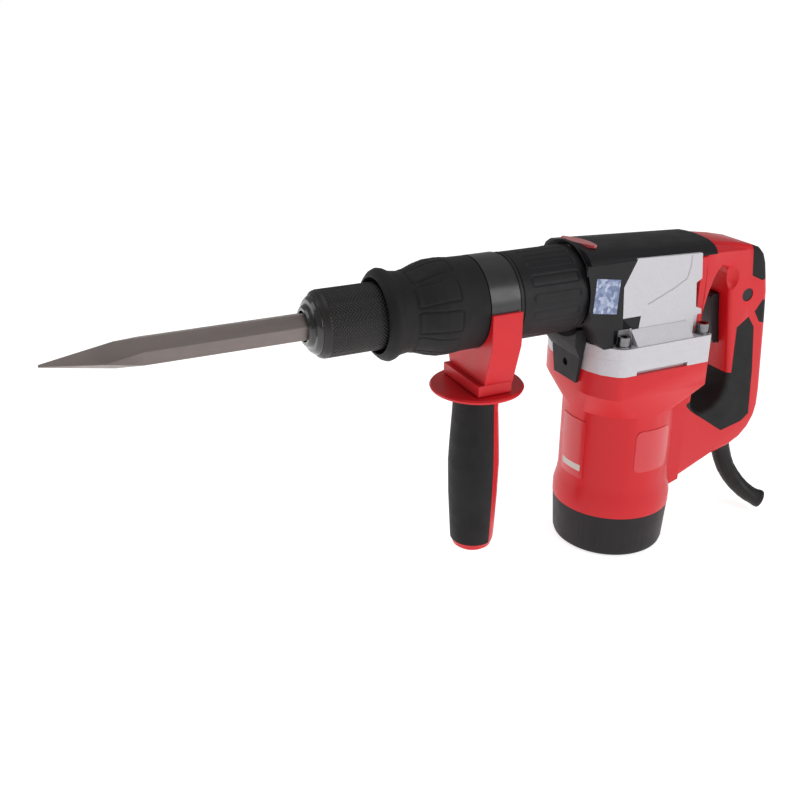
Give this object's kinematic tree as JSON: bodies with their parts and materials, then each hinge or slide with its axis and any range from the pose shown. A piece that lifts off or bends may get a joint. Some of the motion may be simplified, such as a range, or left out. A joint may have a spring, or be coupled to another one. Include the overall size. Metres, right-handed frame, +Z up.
{
  "type": "demolition hammer",
  "caption": "Electric demolition hammer with an upright motor, a D handle, a side handle on a clamp band, a knurled retaining sleeve and a hexagon bull point chisel.",
  "frame": {"origin": "middle of the flat underside of the motor's end cap", "axes": "+Z up along the motor, the chisel points to -X, the handle is at +X, the tool's left side is -Y"},
  "size_m": [0.5545, 0.092, 0.2466],
  "materials": {
    "steel_bronze": "forged, dull, dark bronze grey",
    "gloss_black": "smooth, glossy",
    "black_steel": "blackened, satin, knurled",
    "spring_steel": "drawn wire",
    "bearing_steel": "ground, bright",
    "machined_steel": "machined",
    "dark_steel": "case hardened, oiled",
    "black_rubber": "matte, moulded",
    "black_plastic": "matte, fine grain",
    "strap_paint": "semi gloss black",
    "band_plastic": "semi gloss",
    "seal_rubber": "smooth",
    "red_plastic": "satin gloss, light grain",
    "label_red": "printed film, blank",
    "badge_red": "glossy inlay",
    "foil": "foil film, blank",
    "cast_silver": "fine grained silver paint on cast aluminium",
    "cast_aluminium": "as cast and machined",
    "screw_steel": "plated, satin",
    "laminations": "varnished laminations",
    "copper": "copper segments",
    "brass": "pressed sheet",
    "graphite": "pressed carbon",
    "fan_plastic": "moulded",
    "switch_plastic": "moulded"
  },
  "bodies": {
    "housing": {"nose_ring": "gloss_black", "sleeve_spring": "spring_steel", "retainer_balls": "bearing_steel", "tool_holder": "dark_steel", "front_grip": "black_rubber", "barrel_housing": "band_plastic", "barrel_cover": "black_plastic", "barrel_seals": "seal_rubber", "impact_seals": "seal_rubber", "cylinder": "cast_aluminium", "crank_bearings": "bearing_steel", "gear_housing": "cast_silver", "flange_plate": "cast_silver", "housing_screws": "screw_steel", "front_shell": "black_plastic", "shell_screw": "screw_steel", "top_badge": "badge_red", "top_cover": "black_plastic", "foil_label": "foil", "motor_housing": "red_plastic", "rating_plate": "label_red", "side_panels": "label_red", "stator": "laminations", "armature_bearings": "bearing_steel", "brush_holders": "brass", "carbon_brushes": "graphite", "end_cap": "black_plastic", "cap_screws": "screw_steel", "handle_left": "red_plastic", "handle_right": "red_plastic", "handle_rubber": "black_rubber", "handle_screws": "screw_steel", "switch_body": "switch_plastic", "cord_guard": "seal_rubber"},
    "chisel": {"chisel": "steel_bronze"},
    "sleeve": {"retaining_sleeve": "black_steel"},
    "impact_bolt": {"impact_bolt": "machined_steel"},
    "striker": {"striker": "machined_steel"},
    "piston": {"piston": "cast_aluminium", "wrist_pin": "bearing_steel"},
    "rod": {"connecting_rod": "dark_steel", "crank_pin": "bearing_steel"},
    "armature": {"armature_shaft": "machined_steel", "armature_core": "laminations", "commutator": "copper", "cooling_fan": "fan_plastic"},
    "crank": {"crankshaft": "machined_steel", "crank_gear": "dark_steel"},
    "trigger": {"trigger": "switch_plastic"},
    "lock_button": {"lock_button": "switch_plastic"},
    "side_handle": {"side_saddle": "red_plastic", "clamp_strap": "strap_paint", "clamp_bolt": "machined_steel"},
    "side_grip": {"side_grip": "red_plastic", "side_rubber": "black_rubber"}
  },
  "joints": [
    {"name": "chisel_play", "type": "slide", "parent": "housing", "child": "chisel", "axis": [1, 0, 0], "range_m": [-0.012, 0]},
    {"name": "sleeve_pull", "type": "slide", "parent": "housing", "child": "sleeve", "axis": [1, 0, 0], "range_m": [0, 0.01], "stiffness_N_per_m": 1500, "springref_m": -0.004, "deforming": ["sleeve_spring"]},
    {"name": "impact_bolt_travel", "type": "slide", "parent": "housing", "child": "impact_bolt", "axis": [1, 0, 0], "range_m": [0, 0.003]},
    {"name": "striker_travel", "type": "slide", "parent": "housing", "child": "striker", "axis": [1, 0, 0], "range_m": [-0.001, 0.006]},
    {"name": "piston_stroke", "type": "slide", "parent": "housing", "child": "piston", "axis": [1, 0, 0], "range_m": [0, 0.018]},
    {"name": "rod_swing", "type": "hinge", "parent": "piston", "child": "rod", "pos_m": [-0.0518, 0, 0.213], "axis": [0, 0, 1], "range_deg": [-8.4, 8.4]},
    {"name": "crank_turn", "type": "hinge", "parent": "housing", "child": "crank", "pos_m": [0.0192, 0, 0.213], "axis": [0, 0, 1], "continuous": true},
    {"name": "armature_turn", "type": "hinge", "parent": "housing", "child": "armature", "pos_m": [0, 0, 0.1], "axis": [0, 0, 1], "continuous": true},
    {"name": "trigger_pull", "type": "slide", "parent": "housing", "child": "trigger", "axis": [1, 0, 0], "range_m": [0, 0.005], "stiffness_N_per_m": 500, "springref_m": -0.004},
    {"name": "lock_press", "type": "slide", "parent": "housing", "child": "lock_button", "axis": [0, 1, 0], "range_m": [0, 0.003], "stiffness_N_per_m": 300, "springref_m": -0.003},
    {"name": "side_handle_swing", "type": "hinge", "parent": "housing", "child": "side_handle", "pos_m": [-0.126, 0, 0.213], "axis": [1, 0, 0], "continuous": true},
    {"name": "side_grip_turn", "type": "hinge", "parent": "side_handle", "child": "side_grip", "pos_m": [-0.126, 0, 0.1], "axis": [0, 0, 1], "range_deg": [-360, 0]}
  ],
  "couplings": [
    {"joint": "crank_turn", "follows": "armature_turn", "ratio": -0.26316}
  ]
}
